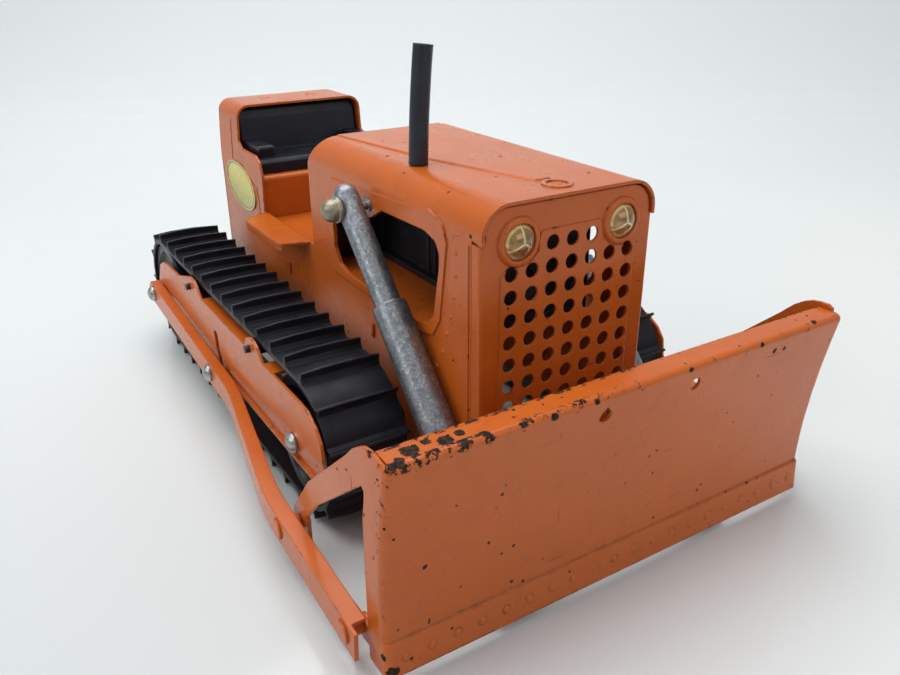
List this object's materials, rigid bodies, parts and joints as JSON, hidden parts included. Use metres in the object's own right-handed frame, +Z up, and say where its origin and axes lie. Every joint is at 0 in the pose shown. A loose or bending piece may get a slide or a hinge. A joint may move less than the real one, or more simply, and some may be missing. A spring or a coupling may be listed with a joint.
{
  "type": "toy bulldozer",
  "caption": "Pressed-steel toy crawler bulldozer: slotted hood, perforated grille, rubber tracks, wide curved blade on push arms with twin telescoping lift cylinders.",
  "frame": {"origin": "on the ground, in the plane of symmetry, under the middle of the overall length (blade to rear panel)", "axes": "+Z up, -Y forwards (towards the blade), +X to the machine's left"},
  "size_m": [0.154, 0.2426, 0.1313],
  "materials": {
    "orange_paint": "gloss enamel, worn",
    "zinc_steel": "zinc plated, dulled",
    "yellow_zinc": "yellow zinc plated",
    "black_plastic": "satin",
    "black_rubber": "satin",
    "lamp_plastic": "clear amber",
    "badge": "satin"
  },
  "bodies": {
    "chassis": {"body_shell": "orange_paint", "rear_panel": "orange_paint", "chassis_channel": "orange_paint", "seat_panel": "orange_paint", "grille_plate": "orange_paint", "side_frame_left": "orange_paint", "side_frame_right": "orange_paint", "exhaust_stack": "black_plastic", "engine_block": "black_plastic", "seat": "black_plastic", "head_lamps": "lamp_plastic", "side_badge": "badge", "lift_cross_pin": "zinc_steel", "cap_nuts": "yellow_zinc", "axle_caps": "zinc_steel", "axle_spacers": "black_plastic", "track_pegs": "black_plastic", "front_axle": "zinc_steel", "rear_axle": "zinc_steel", "track_belt_left": "black_rubber", "track_belt_right": "black_rubber"},
    "blade_frame": {"blade": "orange_paint", "push_arm_left": "orange_paint", "push_arm_right": "orange_paint", "arm_rivets": "orange_paint", "guide_rivets": "zinc_steel", "cylinder_bracket_left": "orange_paint", "cylinder_bracket_right": "orange_paint"},
    "rod_left": {"lift_rod_left": "zinc_steel"},
    "rod_right": {"lift_rod_right": "zinc_steel"},
    "sleeve_left": {"lift_sleeve_left": "zinc_steel", "lower_pin_left": "zinc_steel"},
    "sleeve_right": {"lift_sleeve_right": "zinc_steel", "lower_pin_right": "zinc_steel"},
    "front_wheel_left": {"front_wheel_left": "black_plastic"},
    "front_wheel_right": {"front_wheel_right": "black_plastic"},
    "rear_wheel_left": {"rear_wheel_left": "black_plastic"},
    "rear_wheel_right": {"rear_wheel_right": "black_plastic"}
  },
  "joints": [
    {"name": "blade_lift", "type": "hinge", "parent": "chassis", "child": "blade_frame", "pos_m": [0, 0.0964, 0.0249], "axis": [-1, 0, 0], "range_deg": [0, 10]},
    {"name": "rod_swing_left", "type": "hinge", "parent": "chassis", "child": "rod_left", "pos_m": [0.034, -0.0306, 0.0865], "axis": [-1, 0, 0], "range_deg": [0, 17]},
    {"name": "cylinder_stroke_left", "type": "slide", "parent": "rod_left", "child": "sleeve_left", "axis": [0, 0.6884, 0.7254], "range_m": [0, 0.0235]},
    {"name": "rear_wheel_spin_left", "type": "hinge", "parent": "chassis", "child": "rear_wheel_left", "pos_m": [0, 0.0964, 0.0249], "axis": [1, 0, 0], "continuous": true},
    {"name": "front_wheel_spin_left", "type": "hinge", "parent": "chassis", "child": "front_wheel_left", "pos_m": [0, -0.045, 0.0249], "axis": [1, 0, 0], "continuous": true},
    {"name": "rod_swing_right", "type": "hinge", "parent": "chassis", "child": "rod_right", "pos_m": [-0.034, -0.0306, 0.0865], "axis": [-1, 0, 0], "range_deg": [0, 17]},
    {"name": "cylinder_stroke_right", "type": "slide", "parent": "rod_right", "child": "sleeve_right", "axis": [0, 0.6884, 0.7254], "range_m": [0, 0.0235]},
    {"name": "rear_wheel_spin_right", "type": "hinge", "parent": "chassis", "child": "rear_wheel_right", "pos_m": [0, 0.0964, 0.0249], "axis": [1, 0, 0], "continuous": true},
    {"name": "front_wheel_spin_right", "type": "hinge", "parent": "chassis", "child": "front_wheel_right", "pos_m": [0, -0.045, 0.0249], "axis": [1, 0, 0], "continuous": true}
  ],
  "couplings": [
    {"joint": "rod_swing_left", "follows": "blade_lift", "ratio": 1.652},
    {"joint": "cylinder_stroke_left", "follows": "blade_lift", "m_per_rad": 0.1283},
    {"joint": "front_wheel_spin_left", "follows": "rear_wheel_spin_left", "ratio": 1},
    {"joint": "rod_swing_right", "follows": "blade_lift", "ratio": 1.652},
    {"joint": "cylinder_stroke_right", "follows": "blade_lift", "m_per_rad": 0.1283},
    {"joint": "front_wheel_spin_right", "follows": "rear_wheel_spin_right", "ratio": 1}
  ]
}
